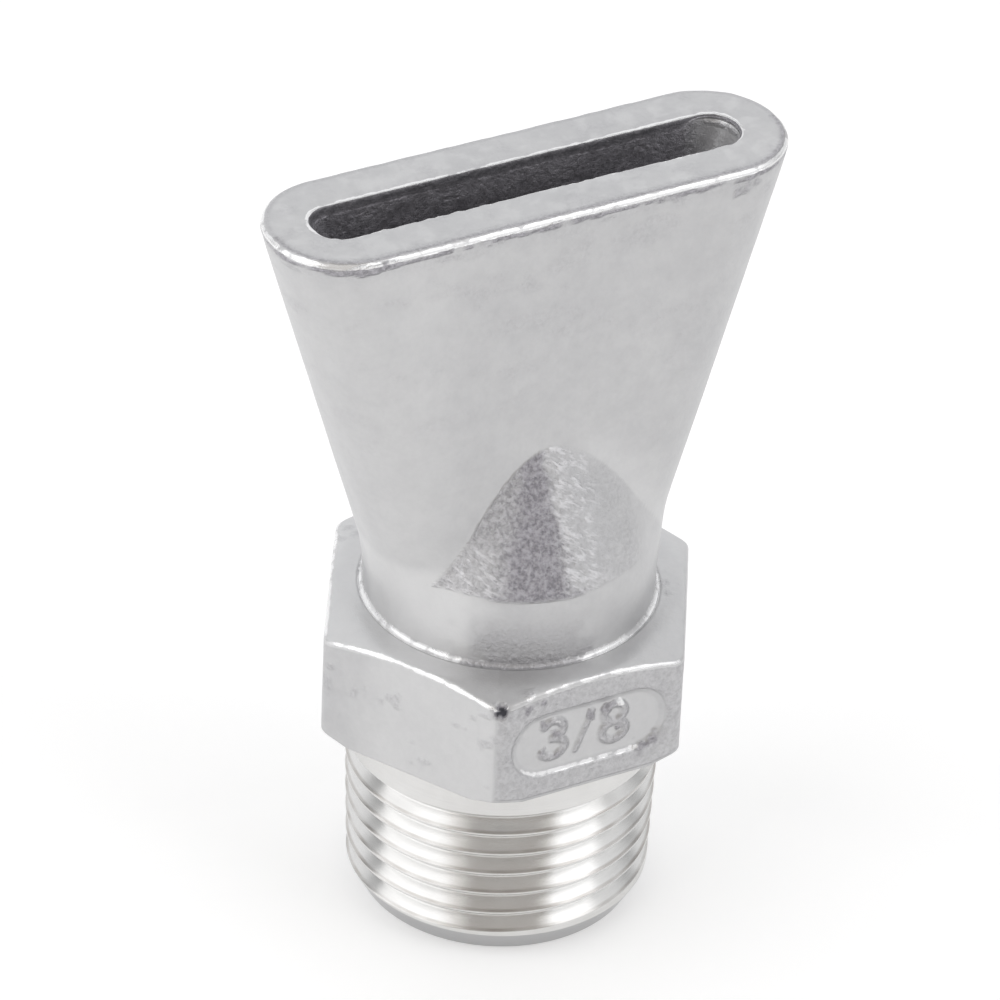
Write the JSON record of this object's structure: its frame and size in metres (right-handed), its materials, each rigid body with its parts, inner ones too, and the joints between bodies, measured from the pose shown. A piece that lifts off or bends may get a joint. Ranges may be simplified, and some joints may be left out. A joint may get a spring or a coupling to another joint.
{
  "type": "flat air nozzle",
  "caption": "Flat-mouthed air nozzle: a one-piece steel casting whose threaded round inlet runs through a hexagon and a fan-shaped body into a thin slot.",
  "frame": {"origin": "middle of the inlet's end face, at the foot of the thread", "axes": "+Z along the flow from the inlet to the mouth, +X along the slot, -Y out of the hexagon flat with the size panel"},
  "size_m": [0.0292, 0.0188, 0.044],
  "materials": {
    "cast_stainless_steel": "satin, belt-ground casting with rough as-cast patches and a bright turned thread"
  },
  "bodies": {
    "root": {"nozzle_body": "cast_stainless_steel"}
  },
  "joints": []
}
